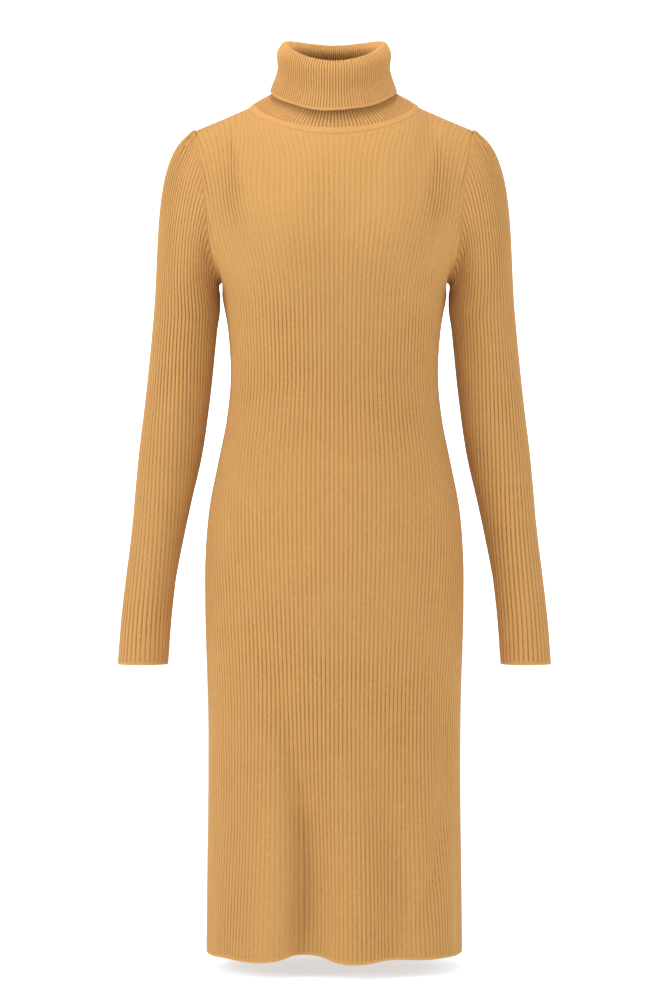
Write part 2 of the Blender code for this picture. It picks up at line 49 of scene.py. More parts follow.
RIGHT, UP = np.array([1.0, 0.0, 0.0]), np.array([0.0, 0.0, 1.0])
FRONT, BACK = -1, 1

# The cloth. Half way up its ribs is the surface that the functions below give.
WALL = 1.0 * MM
RIB_HEIGHT, COLLAR_RIB_HEIGHT = 1.25 * MM, 1.4 * MM
GROOVE = 0.17  # half width of the groove between two ribs, in ribs
SPLIT, SPLIT_WIDTH = 0.3, 0.13  # depth and half width of the line down a rib's middle
RELAXED_RIB = 5.2 * MM  # width of a rib that isn't stretched; a wider one lies flatter
CROWDED_RIB = 3.6 * MM  # ribs narrower than this are lower as well
STRETCH_POWER, FLATTEST = 4.0, 0.3  # how fast wider ribs lie flatter, and the least that is left
THINNEST = 0.4  # no rib counts as narrower than this share of a relaxed one
WIDTH_REACH = 6  # a rib's width is a mean over so many columns of points to each side
LINE_FADE = 0.9  # how fast the painted shade in the grooves fades where the ribs lie flatter
MIDDLE_SHADE, SIDE_RIBS = 0.72, 30  # that painted groove shade in a panel's middle; the rib where it is full
SEAM_DIP, SEAM_WIDTH = 0.45 * MM, 1.4 * MM
SIDE_SEAM_SHARE = 0.6  # how deep the seams at the sides and under the arms are beside the others
SEAM_FADE = 3 * MM  # so far from a seam the ribs have their full height
EDGE_ROLL, ROLL_WIDTH = 0.5 * MM, 1.3 * MM
EDGE_LIP = 0.35 * MM  # how far the rounded rim of an edge stands out
EDGE_PLAIN, EDGE_FADE, COLLAR_FADE = 1.5 * MM, 4 * MM, 3.5 * MM  # ribs start there, and rise
LINING_DIP = 0.5  # how much of a groove or seam shows on the inside
SAME_POINT = 0.002 * MM  # points this near are one

# Ribs in all, and the places of the points on one.
PANEL_RIBS, HIP_RIBS, SLEEVE_RIBS, COLLAR_RIBS = 74, 84, 58, 128
RIB_STEPS = np.array([0, 0.12, 0.28, 0.5, 0.72, 0.88])
COLLAR_STEPS = np.array([0, 0.2, 0.5, 0.8])
INNER_STEP = len(RIB_STEPS) // 2  # the inside keeps two columns of points a rib
SIDE_SNAP = 0.3  # columns of points this near a side seam, in ribs, end on it
SHOULDER_RIBS = 25  # so many of the yoke's ribs reach the shoulder, the others end on the armhole
FAN_POWER, FAN_START = 3, 1.4  # how the ribs fan out, the outermost first, and how late they do
EVEN_STEPS, EVEN_REACH = 240, 0.8  # how many places and levels it takes to space them evenly

# The body, up to the level where the armholes begin.
HEM, ARM_LEVEL = -1052 * MM, -237 * MM
SKIRT_LENGTH = ARM_LEVEL - HEM
SECTION_POWER, SECTION_STEPS = 2.2, 481

# A panel is laid out by place across (-1 and 1 its sides) and level: 0 the hem, 1 the level
# where the arms begin, 2 the notch where the armhole turns up beside a rib, 3 the top edge.
NECK_RIBS, YOKE_RIBS = 15, 29
NECK_SHARE = NECK_RIBS / (PANEL_RIBS / 2)
SHOULDER_SHARE = YOKE_RIBS / (PANEL_RIBS / 2)
NOTCH_TURN, NOTCH_SHARE = math.radians(128), 0.3
ARMHOLE_HOLD = 5

NECK_HALF_WIDTH = 104 * MM
NECK_Y = -85 * MM, 0, 72 * MM
NECK_Z = -42 * MM, 0, 15 * MM
NECK_RISE = 26, 62, 21
SHOULDER_POINT = np.array([173, 0, -29.5]) * MM
UNDERARM_HEIGHT = -223 * MM
ARMHOLE_HALF_DEPTH = 51 * MM
ARMHOLE_FULLNESS, ARMHOLE_TOP_TILT = 0.22, 0.42

# How far the ribs run on straight from their feet and into the seams, as shares of the way, and
# how they turn at the corner of neck and shoulder and are softened beside it.
YOKE_RUN_UP, YOKE_RUN_IN = 1.1, 0.6
CORNER_TURN, CORNER_RUN_IN, CORNER_WIDTH = 0.8, 0.28, 0.2
CORNER_SOFTNESS, CORNER_START = 0.22, 2.5
SOFTENING = (
    (-1, 0.08), (-0.66, 0.14), (-0.33, 0.18), (0, 0.2), (0.33, 0.18), (0.66, 0.14), (1, 0.08)
)  # places beside a rib, and how much each counts
SLEEVE_RUN_UP, SLEEVE_RUN_IN = 1.15, 0.75
SLEEVE_SQUARE, UNDERARM_SQUARE = 0.3, 2  # how squarely the sleeve leaves its seam
NOTCH_WIDTH = 0.4
ARMHOLE_FADE, TOP_FADE = 8, 4  # how fast the bust's fullness ends near these seams
NUDGE, STRIDE = 0.002, 4 * MM  # small steps that give directions, in place or level and in height

BUST_OUT, BUST_HEIGHT = 77 * MM, -172 * MM
BUST_REACH, BUST_PROUD = 40 * MM, 15 * MM

SLEEVE_LEVEL, CUFF = -262 * MM, -694 * MM
ARM_LENGTH = SLEEVE_LEVEL - CUFF

# Rows of points: close together along an edge, then even up to the arms, and close at the seams.
EDGE_ROWS = np.array([0, 0.5, 1.1, 1.7, 2.4, 3.2, 4.4, 6, 9]) * MM
EVEN_FROM = 16 * MM
SKIRT_ROWS, SLEEVE_ROWS, COLLAR_ROWS = 86, 52, 64
NOTCH_ROWS, YOKE_ROWS, CAP_ROWS = 12, 20, 34
NOTCH_END, YOKE_END, CAP_END = (1.93, 1.97, 2), (2.97, 2.985, 3), (1.985, 2)

# Points along the seams that distances are measured from.
ARMHOLE_STEPS, TOP_STEPS, NECK_STEPS, SIDE_STEPS, NOTCH_STEPS = 320, 700, 420, 700, 20


def smooth(knots, values, at):
    """Values on smooth curves through those at the knots, for numbers or for whole rings."""
    slopes = np.gradient(values, knots, axis=0)
    at = np.clip(at, knots[0], knots[-1])
    low = np.clip(np.searchsorted(knots, at, side="right") - 1, 0, len(knots) - 2)
    span = knots[low + 1] - knots[low]
    t = (at - knots[low]) / span
    start, end = slopes[low] * span, slopes[low + 1] * span
    rise = values[low + 1] - values[low]
    curve = start * t + (3 * rise - 2 * start - end) * t**2 + (start + end - 2 * rise) * t**3
    return values[low] + curve


class Table:
    """A short table with named columns in millimetres, read as smooth curves of its first one."""

    def __init__(self, names, *rows):
        self.names = names.split()
        self.rows = np.array(rows, float) * MM

    def read(self, name, at):
        return smooth(self.rows[:, 0], self.rows[:, self.names.index(name)], at)


# The body's ribs keep their width too: some end on the side seams, above and below the hips.
BODY = Table(
    "height half_width front back ribs",
    (-1052, 160, 107, 110, 80),
    (-980, 159, 107, 111, 81),
    (-860, 157, 109, 114, 83),
    (-740, 157.5, 113, 120, 84),
    (-616, 161, 117, 126, 82),
    (-560, 160.5, 117, 124, 79.5),
    (-500, 155.5, 114, 114, 76),
    (-441, 144, 109, 101, 72),
    (-391, 134, 103, 92, 70.5),
    (-335, 129, 100, 88, 70.5),
    (-285, 131.5, 107, 92, 72),
    (-237, 136.5, 115, 99, 74),
    (-200, 142, 119, 103, 74),
)

ARMHOLE = Table(
    "height out",
    (-223, 140),
    (-205, 147),
    (-179, 153),
    (-150, 156.5),
    (-117, 159),
    (-91, 163),
    (-60, 168),
    (-29.5, 173),
)

# The ribs of a sleeve keep their width, so more of them fit round it further up.
SLEEVE = Table(
    "height out forward half_width half_depth ribs",
    (-694, 237.5, 26, 31, 33, 33),
    (-641, 234, 19, 31, 33, 34),
    (-591, 229, 10, 31, 33.5, 35),
    (-541, 221.5, 3, 32.5, 35, 38),
    (-491, 214, -1, 35.5, 37, 42),
    (-441, 206, -3, 39, 40, 47),
    (-366, 196, -3, 40, 43, 53),
    (-300, 189, -1, 40, 44, 57),
    (-262, 185.5, 0, 40, 45, 58),
)

# Soft folds of the skirt: where round the body (0 middle front, 1 and -1 the side seams, 2
# middle back), how wide, how deep in mm at the hem (a trough is below zero), how high it
# reaches in mm, how far it drifts round on its way up, and how far it lifts the hem in mm.
FOLDS = (
    ("place", "width", "depth", "reach", "drift", "lift"),
    (-0.18, 0.145, -17, -690, 0.0, 6.5),
    (-0.47, 0.17, 5, -700, 0.06, -2),
    (0.10, 0.15, 5, -720, -0.04, -2.5),
    (0.33, 0.13, -6, -830, 0.0, 1),
    (0.56, 0.16, 4, -780, -0.05, 0),
    (0.88, 0.09, -5, -790, -0.06, -2),
    (-0.86, 0.10, -4, -860, 0.05, -2),
    (1.35, 0.16, -9, -730, 0.05, 3),
    (1.64, 0.18, 5, -760, 0.02, -1),
    (1.93, 0.15, -12, -700, -0.04, 4),
    (-1.72, 0.17, 5, -740, 0.03, -1),
    (-1.42, 0.15, -8, -800, -0.03, 2),
)
SIDE_DROP = 3 * MM  # how much lower the hem hangs at the side seams
LIFT_REACH = 0.16  # level at which the hem's ups and downs have faded out

# Rings of the collar, from its foot over the fold to its edge, in mm.
COLLAR = (
    ("name", "half_width", "y_front", "y_side", "y_back", "z_front", "z_side", "z_back"),
    ("base", 97.8, -82, 0, 69, -35.5, 3.4, 21),
    ("foot", 72.5, -73, -3, 59, -14.5, 18.5, 33),
    ("stand", 60, -66, -6, 49, 14, 46, 56),
    ("stand_top", 56.2, -60.5, -8, 41, 41, 72.5, 78.5),
    ("roll_top", 62.2, -66.5, -9, 46.5, 47, 78.5, 84.5),
    ("fold_top", 68, -72.5, -9, 52, 41, 72, 78),
    ("fold_side", 69.5, -75, -8, 56, 8, 44, 56),
    ("fold_edge", 78.4, -81, -5, 67, -15.5, 19.5, 33.5),
)

# Creases, as soft troughs (below zero) or ridges: the middle, both half sizes and the depth in
# mm, and how far the crease leans over from upright, in degrees.
CREASE_BOW = 0.12  # how much they bend
CREASE_COLUMNS = ("across", "z", "half_length", "half_width", "lean", "depth")
FRONT_CREASES = (
    CREASE_COLUMNS,
    (-128, -205, 26, 5, -38, -1.6),
    (127, -208, 24, 5, 40, -1.5),
    (-118, -222, 20, 6, -52, 1.0),
    (119, -226, 21, 6, 50, 1.1),
    (-62, -352, 46, 9, 80, -1.1),
    (71, -338, 40, 8, -78, -1.0),
    (4, -362, 52, 10, 86, 0.8),
    (-70, -965, 190, 22, 2, 8.0),
    (-41, -965, 190, 12, 2, -12.0),
    (-14, -985, 160, 20, 0, -6.0),
    (46, -985, 140, 18, -3, 3.0),
    (76, -985, 140, 17, -3, -6.0),
    (134, -880, 170, 11, 7, -5.0),
    (112, -890, 150, 13, 6, 2.5),
    (-120, -930, 120, 12, -3, -1.8),
    (-110, -560, 48, 12, 24, -0.9),
)
BACK_CREASES = (
    CREASE_COLUMNS,
    (-126, -196, 26, 6, -34, -1.6),
    (128, -200, 25, 5, 36, -1.5),
    (-50, -330, 50, 9, 82, -1.5),
    (56, -342, 44, 9, -80, -1.4),
    (2, -318, 56, 10, 88, 1.0),
    (-20, -372, 60, 10, -87, -1.0),
    (112, -700, 60, 12, -18, -1.2),
)

# The same on a sleeve, across from the line over the arm (the front is below zero).
SLEEVE_CREASES = (
    CREASE_COLUMNS,
    (-46, -232, 30, 6, 35, -1.8),
    (-70, -252, 26, 6, 44, -1.6),
    (50, -238, 28, 6, -36, -1.7),
    (-58, -432, 26, 8, 72, -1.3),
    (-74, -455, 22, 7, 80, -1.5),
    (-50, -478, 24, 8, 68, -0.9),
    (62, -446, 24, 8, -74, -1.0),
    (-20, -520, 22, 8, 62, -0.7),
    (30, -600, 26, 9, -66, -0.7),
    (-34, -640, 22, 8, 70, -0.6),
)

# Tucks at the head of a sleeve: across from the shoulder seam, length down from the armhole, half
# width, how far each drifts on its way down, and its height (below zero a trough), in mm.
HEAD_TUCKS = (
    ("across", "length", "half_width", "drift", "height"),
    (-7, 34, 2.4, -26, -3.6),
    (-13, 34, 3.0, -26, 2.8),
    (-2, 26, 2.6, -18, 1.8),
    (8, 28, 2.2, 20, -2.6),
    (13, 26, 2.8, 18, 2.0),
)
TUCK_REACH = 45 * MM  # they end this far from the shoulder seam, and twice this far down

# Between arm and body: a fold that deepens towards the underarm, fades out in its tail below it,
# and a soft fullness there that starts beside the seam.
ARM_FOLD, ARM_FOLD_WIDTH, ARM_FOLD_TOP, ARM_FOLD_TAIL = 3.2 * MM, 10 * MM, -130 * MM, 14 * MM
PINCH, PINCH_START, PINCH_HEIGHT, PINCH_REACH = 3.0 * MM, 5 * MM, -238 * MM, 26 * MM
SIDE_REACH, UNDER_REACH = 40 * MM, 30 * MM  # how far from their seams body and sleeve have both
CREASE_CLEAR = 10 * MM  # so far from the underarm seam a sleeve's creases have their full depth
RIB_FAN = 0.6  # how strongly the sleeve's ribs gather towards the shoulder point

# The plain linked band round the neck, on the collar's foot and over the body's edge.
BAND_WIDTH, BAND_LAP, BAND_PROUD = 5.2 * MM, 2.6 * MM, 0.3 * MM
BAND_STEP, BAND_FADE = 1.2 * MM, 2 * MM  # how soft its step is, and how far the ribs rise above it
LAP_EDGE, LAP_ROUND = 0.3, 1.4 * MM  # how thick its lower edge is, and how far that edge rounds
LAP_FOOT = 0.1 * MM  # how far the middle of that edge stands off the body
LAP_COVER, LAP_FADE = 1 * MM, 2.5 * MM  # how far under the lap the body's ribs start, and rise
NECK_CLEAR = 4 * MM  # so far from the neck seam a shoulder seam has its full dip
LAP_ROWS = np.array([0, 0.3, 0.8, 1.4]) * MM - BAND_LAP
BAND_ROWS = np.array([0, 1.4, 2.8, 4.2, 5.2, 5.9, 6.6, 7.6]) * MM
STAND_FROM, STAND_TO = 11 * MM, 3 * MM  # how far the collar's even rows are from the others

# How far the fold of the collar sways out, and how far its edge rises, in mm.
WAVE_COLUMNS = ("waves", "start", "height")
FOLD_SWAY = (WAVE_COLUMNS, (3, 0.7, 0.9), (5, 2.1, 0.7))
EDGE_SWAY = (WAVE_COLUMNS, (2, 0.4, 0.6), (7, 0, 0.5))
SWAY_SHARES = (1.0, 0.7, 0.3)  # of the collar's rings, from its edge upwards


def rows_of(table):
    """The rows of a table by the names in its first one."""
    return [dict(zip(table[0], row)) for row in table[1:]]


def grids(rows):
    """One grid for each thing that the rows hold, such as points and normals."""
    return [np.array(grid) for grid in zip(*rows)]


def size(v):
    return np.linalg.norm(v, axis=-1)


def unit(v):
    return v / np.maximum(size(v)[..., None], 1e-12)


def square_to(v, direction):
    return unit(v - (v * direction).sum(-1, keepdims=True) * direction)


def points(x, y, z):
    return np.stack(np.broadcast_arrays(x, y, z), -1)


def ease(t):
    t = np.clip(t, 0, 1)
    return t * t * (3 - 2 * t)


def hump(t):
    return np.exp(-(t * t))


def all_round(turn, front, side, back):
    """A value that passes smoothly from front to side to back of a ring."""
    c = np.cos(turn)
    return side + (front - back) / 2 * c + ((front + back) / 2 - side) * c * c


def along(ring, turn, step=0.001):
    return unit(ring(turn + step) - ring(turn - step))


def at_shares(shares, x, y):
    """Where a line through these points has gone such shares of its length."""
    run = np.append(0, np.hypot(np.diff(x), np.diff(y)).cumsum())
    return (np.interp(shares, run / run[-1], values) for values in (x, y))


def bridge(start, leave, end, arrive, t):
    t = t[..., None]
    return (
        (2 * t**3 - 3 * t**2 + 1) * start
        + (t**3 - 2 * t**2 + t) * leave
        + (3 * t**2 - 2 * t**3) * end
        + (t**3 - t**2) * arrive
    )


# ---- seam rings


def neck_ring(turn):
    y, z = all_round(turn, *NECK_Y), all_round(turn, *NECK_Z)
    return points(NECK_HALF_WIDTH * np.sin(turn), y, z)


def neck_frame(turn):
    """Points of the neck seam, the cloth's normals there and directions into the collar."""
    run = along(neck_ring, turn)
    rise = np.radians(all_round(turn, *NECK_RISE))
    level = unit(points(run[..., 1], -run[..., 0], 0 * turn))
    normal = square_to(points(*(level[..., i] * np.cos(rise) for i in (0, 1)), np.sin(rise)), run)
    return neck_ring(turn), normal, np.cross(normal, run)


def armhole_ring(turn):
    half_height = (SHOULDER_POINT[2] - UNDERARM_HEIGHT) / 2
    height = UNDERARM_HEIGHT + half_height * (1 + np.cos(turn))
    depth = ARMHOLE_HALF_DEPTH * np.sin(turn) * (1 - ARMHOLE_FULLNESS * np.cos(turn))
    return points(ARMHOLE.read("out", height), -depth, height)


def armhole_frame(turn):
    """Points of the armhole, the cloth's normals there and directions into the sleeve."""
    run = along(armhole_ring, turn)
    tilt = ARMHOLE_TOP_TILT * ((1 + np.cos(turn)) / 2) ** 2
    normal = square_to(unit(np.cross(run, RIGHT)) + tilt[..., None] * RIGHT, run)
    return armhole_ring(turn), normal, np.cross(normal, run)


# ---- front and back


def fold_shares(side, across, height):
    """Each fold, how far down it has formed at a height, and how much of it a place has."""
    place = across if side == FRONT else np.sign(across + 1e-9) * 2 - across
    for fold in rows_of(FOLDS):
        reach = fold["reach"] * MM
        share = max(0.0, (reach - height) / (reach - HEM))
        middle = fold["place"] + fold["drift"] * (1 - share)
        apart = (place - middle + 2) % 4 - 2
        yield fold, ease(share), hump(apart / fold["width"])


def fold_depth(side, across, height):
    """How far the folds push the skirt out at a place and height."""
    shares = fold_shares(side, across, height)
    return sum(fold["depth"] * MM * formed * here for fold, formed, here in shares)


def hem_lift(side, across):
    """How far the hem lies above its level at a place."""
    lift = sum(f["lift"] * MM * here for f, _, here in fold_shares(side, across, HEM))
    return lift - SIDE_DROP * across**4


def body_section(side, across, height):
    """Points of one panel at one level, evenly spaced ribs on a rounded oval."""
    turn = np.linspace(-math.pi / 2, math.pi / 2, SECTION_STEPS)
    power = 2 / SECTION_POWER
    half_width = BODY.read("half_width", height)
    depth = BODY.read("front" if side == FRONT else "back", height)
    x = half_width * np.sign(turn) * np.abs(np.sin(turn)) ** power
    y = side * depth * np.cos(turn).clip(0) ** power
    level = points(*at_shares((across + 1) / 2, x, y), 0)
    level = level * (1 + fold_depth(side, across, height) / size(level))[:, None]
    return level + height * UP


def mirrored(across, *vectors):
    hand = np.where(across < 0, -1.0, 1.0)
    return [v * points(hand, 1 + 0 * hand, 1 + 0 * hand) for v in vectors]


def top_edge(side, across):
    """The neck and shoulder seam: points, normals, ways out of the panel, ways of the ribs."""
    out = np.minimum(np.abs(across), SHOULDER_SHARE)
    neck_turn = np.arcsin(np.clip(out / NECK_SHARE, 0, 1))
    seam, normal, way_out = neck_frame(neck_turn if side == FRONT else math.pi - neck_turn)
    k = np.clip((out - NECK_SHARE) / (SHOULDER_SHARE - NECK_SHARE), 0, 1)[:, None]
    shoulder_normal = armhole_frame(0 * out)[1]
    seam = seam + (SHOULDER_POINT - seam) * k
    normal = unit(normal + (shoulder_normal - normal) * k)
    corner_out = neck_frame(math.pi / 2 + 0 * out)[2]
    beside_neck = way_out * ease(out / NECK_SHARE)[:, None]
    near_corner = np.where(k > 0, corner_out * (1 - k) ** 2, beside_neck)
    own_way = unit(-side * np.cross(normal, RIGHT) + near_corner * CORNER_TURN)
    way_out = np.where(k > 0, [0, -side, 0], way_out)
    return mirrored(across, seam, normal, way_out, own_way)


def armhole_edge(side, turn, hand):
    """The armhole of one panel and hand: points, normals and ways out of the panel."""
    return [v * [hand, 1, 1] for v in armhole_frame(-side * turn)]


def rib_start(side, across):
    foot = body_section(side, across, ARM_LEVEL)
    return foot, unit(foot - body_section(side, across, ARM_LEVEL - STRIDE))


def armhole_rib(side, out, t):
    """Ribs of the right half that end at the armhole, at a share t of the way to it."""
    q = np.clip((out - SHOULDER_SHARE) / (1 - SHOULDER_SHARE), 0, 1)
    foot, up = rib_start(side, np.maximum(out, SHOULDER_SHARE))
    seam, normal, way_out = armhole_edge(side, NOTCH_TURN + (math.pi - NOTCH_TURN) * q, 1)
    reach = size(seam - foot)[:, None]
    own_way = square_to(seam - foot, normal)
    beside = unit(side * np.cross(way_out, normal) + own_way)
    own_way = unit(beside + (own_way - beside) * ease(q / NOTCH_WIDTH)[:, None])
    return bridge(foot, up * reach * YOKE_RUN_UP, seam, own_way * reach * YOKE_RUN_IN, t + 0 * out)


def yoke_rib(side, out, t):
    """Ribs of the right half that run up to the shoulder or the neck, at a share t of the way."""

    def free(places):
        total = 0
        for apart, weight in SOFTENING:
            place = places + apart * CORNER_SOFTNESS * (1 - t) * ease(CORNER_START * t)
            foot, up = rib_start(side, place)
            seam, _, _, own_way = top_edge(side, place)
            reach = size(seam - foot)[:, None]
            off_corner = (np.abs(place) - NECK_SHARE) / CORNER_WIDTH
            run_in = YOKE_RUN_IN + CORNER_RUN_IN * hump(off_corner)[:, None]
            ends = (foot, up * reach * YOKE_RUN_UP, seam, own_way * reach * run_in)
            total = total + weight * bridge(*ends, t + 0 * place)
        return total

    last = np.array([SHOULDER_SHARE])
    if t < NOTCH_SHARE:
        held = armhole_rib(side, last, t / NOTCH_SHARE)
    else:
        turn = NOTCH_TURN * (1 - (t - NOTCH_SHARE) / (1 - NOTCH_SHARE)) + 0 * last
        held = armhole_edge(side, turn, 1)[0]
    hold = (out / SHOULDER_SHARE) ** ARMHOLE_HOLD
    return free(out) + (held - free(last)) * hold[:, None]


def bust(side, place):
    if side == BACK:
        return 0
    height = (place[..., 2] - BUST_HEIGHT) ** 2
    off = [(place[..., 0] - middle) ** 2 + height for middle in (-BUST_OUT, BUST_OUT)]
    return BUST_PROUD * sum(np.exp(-o / (2 * BUST_REACH**2)) for o in off)


def panel_points(side, across, level):
    """Points of a panel at places across and one level, to the middle of its ribs."""
    if level <= 1:
        row = body_section(side, across, HEM + SKIRT_LENGTH * level)
        row[:, 2] += hem_lift(side, across) * (1 - ease(level / LIFT_REACH))
        near_seam = 0
    else:
        out = np.abs(across)
        t = np.interp(level, (1, 2, 3), (0, NOTCH_SHARE, 1))
        beyond = (out > SHOULDER_SHARE) & (level <= 2)
        inner = yoke_rib(side, np.minimum(out, SHOULDER_SHARE), t)
        outer = armhole_rib(side, out, min(level - 1, 1))
        row = mirrored(across, np.where(beyond[:, None], outer, inner))[0]
        near_armhole = np.minimum(out / SHOULDER_SHARE, 1) ** ARMHOLE_FADE * ease(level - 1)
        near_seam = np.minimum(near_armhole + t**TOP_FADE, 1)
    row[:, 1] -= bust(side, row) * (1 - near_seam)
    return row


def panel_surface(side, across, level):
    half = SHOULDER_SHARE if level > 2 else 1
    left, right = np.maximum(across - NUDGE, -half), np.minimum(across + NUDGE, half)
    low, high = max(level - NUDGE, 0), min(level + NUDGE, 3)
    if level <= 2 < high:
        high = level
    run = panel_points(side, right, level) - panel_points(side, left, level)
    rise = panel_points(side, across, high) - panel_points(side, across, low)
    normal = side * np.cross(rise, run)
    normal[np.abs(across) == 1, 1] = 0
    return panel_points(side, across, level), unit(normal)


# ---- sleeves and collar


def sleeve_ring(around, height):
    turn = np.linspace(-math.pi / 2, 3 * math.pi / 2, 2 * SECTION_STEPS)
    x = SLEEVE.read("out", height) + SLEEVE.read("half_width", height) * np.sin(turn)
    y = -SLEEVE.read("forward", height) - SLEEVE.read("half_depth", height) * np.cos(turn)
    return points(*at_shares(around, x, y), height)


def sleeve_points(around, level):
    """Points of the right sleeve: level 0 the cuff, 1 the top level ring, 2 the armhole."""
    if level <= 1:
        return sleeve_ring(around, CUFF + ARM_LENGTH * level)
    foot = sleeve_ring(around, SLEEVE_LEVEL)
    up = unit(foot - sleeve_ring(around, SLEEVE_LEVEL - STRIDE))
    turn = math.pi * (1 - 2 * around)
    seam, normal, way_in = armhole_frame(turn)
    reach = size(seam - foot)[:, None]
    square = SLEEVE_SQUARE + (UNDERARM_SQUARE - SLEEVE_SQUARE) * ((1 - np.cos(turn)) / 2) ** 4
    own_way = unit(square_to(seam - foot, normal) - way_in * square[:, None])
    share = level - 1 + 0 * around
    return bridge(foot, up * reach * SLEEVE_RUN_UP, seam, own_way * reach * SLEEVE_RUN_IN, share)


def sleeve_surface(around, level):
    run = sleeve_points((around + NUDGE) % 1, level) - sleeve_points((around - NUDGE) % 1, level)
    low, high = max(level - NUDGE, 0), min(level + NUDGE, 2)
    rise = sleeve_points(around, high) - sleeve_points(around, low)
    return sleeve_points(around, level), unit(np.cross(run, rise))


def collar_ring(ring, turn):
    y, z = ([ring[f"{axis}_{place}"] * MM for place in ("front", "side", "back")] for axis in "yz")
    return points(ring["half_width"] * MM * np.sin(turn), all_round(turn, *y), all_round(turn, *z))


# ---- shells


def off_groove(places):
    """How far places are from the nearest groove, in ribs: 0.5 on the line down a rib's middle."""
    return np.abs((places + 0.5) % 1 - 0.5)


def rib_profile(places, split=SPLIT):
    """Height of the ribs: 1 on a crest, 0 in a groove."""
    off = off_groove(places)
    return 1 - hump(off / GROOVE) - split * hump((0.5 - off) / SPLIT_WIDTH)


def rib_fullness(surface, places):
    """How full the ribs are where they are so wide; stretched cloth lies flatter."""
    run = size(np.gradient(surface, axis=1))
    step = np.gradient(places)
    width = np.maximum(run / step, THINNEST * RELAXED_RIB)
    share = np.full(2 * WIDTH_REACH + 1, 1 / (2 * WIDTH_REACH + 1))
    width = np.pad(width, ((0, 0), (WIDTH_REACH, WIDTH_REACH)), mode="edge")
    width = np.array([np.convolve(row, share, mode="valid") for row in width])
    flat = np.clip((RELAXED_RIB / width) ** STRETCH_POWER, FLATTEST, 1)
    return flat * np.minimum(width / CROWDED_RIB, 1)


def distances(place, seam):
    """How far each point is from the nearest point of a seam."""
    tree = kdtree.KDTree(len(seam))
    for i, p in enumerate(seam):
        tree.insert(p, i)
    tree.balance()
    return np.array([tree.find(p)[2] for p in place.reshape(-1, 3)]).reshape(place.shape[:-1])


def creases(table, across, height):
    """How far the creases of a table raise the cloth."""
    total = 0
    for row in rows_of(table):
        up, out = height / MM - row["z"], across / MM - row["across"]
        lean = math.radians(row["lean"])
        run = up * math.cos(lean) + out * math.sin(lean)
        run, bow = run / row["half_length"], CREASE_BOW * run**2 / row["half_length"]
        off = (out * math.cos(lean) - up * math.sin(lean) + bow) / row["half_width"]
        total = total + row["depth"] * MM * hump(run) * hump(off)
    return total


def add_object(name, data):
    made = bpy.data.objects.new(name, data)
    bpy.context.scene.collection.objects.link(made)
    return made


def add_mesh(name, vertices, faces, material):
    mesh = bpy.data.meshes.new(name)
    mesh.from_pydata(vertices, [], faces)
    mesh.materials.append(material)
    return mesh


class Cloth:
    """A thin shell of cloth. Its points know their place in the knit: wale is how far each is from
    a groove, in ribs, course the length along them, and ribbed 1 on full ribs, 0 on plain cloth;
    ribbed also sets how strong the painted shade in the grooves is."""

    KNIT, PLAIN = ("wale", "course", "ribbed"), (0.5, 0, 0)

    def __init__(self):
        self.places, self.faces, self.count = [], [], 0
        self.knit = {label: [] for label in self.KNIT}

    def add(self, place, *knit):
        """More points, of plain cloth where nothing says how they are knit."""
        shape = place.shape[:-1]
        first, self.count = self.count, self.count + int(np.prod(shape))
        self.places.append(place.reshape(-1, 3))
        for label, values in zip(self.KNIT, knit or self.PLAIN):
            self.knit[label].append(np.broadcast_to(values, shape).ravel())
        return np.arange(first, self.count).reshape(shape)

    def grid(self, index, closed=False):
        if closed:
            index = np.concatenate([index, index[:, :1]], axis=1)
        quads = np.stack([index[:-1, :-1], index[:-1, 1:], index[1:, 1:], index[1:, :-1]], -1)
        self.faces.extend(quads.reshape(-1, 4).tolist())

    def strip(self, low, high, low_at=None, high_at=None):
        """Faces between two rows of points, matched by their places along them."""
        low_at = np.arange(len(low)) if low_at is None else low_at
        high_at = np.arange(len(high)) if high_at is None else high_at
        i = j = 0
        while i < len(low) - 1 or j < len(high) - 1:
            next_low = low_at[i] + low_at[i + 1] if i < len(low) - 1 else math.inf
            next_high = high_at[j] + high_at[j + 1] if j < len(high) - 1 else math.inf
            if next_low == next_high:
                self.faces.append((low[i], low[i + 1], high[j + 1], high[j]))
                i, j = i + 1, j + 1
            elif next_low < next_high:
                self.faces.append((low[i], low[i + 1], high[j]))
                i += 1
            else:
                self.faces.append((low[i], high[j + 1], high[j]))
                j += 1

    def finish(self, name, material, slot):
        mesh = add_mesh(name, np.concatenate(self.places).tolist(), self.faces, material)
        for label, values in self.knit.items():
            layer = mesh.attributes.new(label, "FLOAT", "POINT")
            layer.data.foreach_set("value", np.concatenate(values).astype(np.float32))
        work = bmesh.new()
        work.from_mesh(mesh)
        bmesh.ops.remove_doubles(work, verts=work.verts, dist=SAME_POINT)
        bmesh.ops.dissolve_degenerate(work, edges=work.edges, dist=SAME_POINT / 2)
        bmesh.ops.recalc_face_normals(work, faces=work.faces)
        work.to_mesh(mesh)
        work.free()
        mesh.shade_smooth()
        piece = add_object(name, mesh)
        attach(piece, "root")
        return piece


def arm_fold(off_arm, off_side, side_reach, height):
    """The fold between arm and body, deepest at the underarm, and the fullness just below it."""
    near = np.minimum(ease(1 - off_side / side_reach) + (off_arm < ARM_FOLD_WIDTH), 1)
    low = ease((ARM_FOLD_TOP - height) / (ARM_FOLD_TOP - UNDERARM_HEIGHT))
    low = low * ease(1 + (height - UNDERARM_HEIGHT) / ARM_FOLD_TAIL)
    below = hump((height - PINCH_HEIGHT) / PINCH_REACH) * (height < UNDERARM_HEIGHT + PINCH_REACH)
    fullness = PINCH * below * ease(off_arm / PINCH_START)
    return near * (fullness - ARM_FOLD * hump(off_arm / ARM_FOLD_WIDTH) * low)


def edge_roll(off):
    """The bead along a cast-off edge, at distances from the edge."""
    return EDGE_ROLL * hump((off - ROLL_WIDTH) / ROLL_WIDTH)


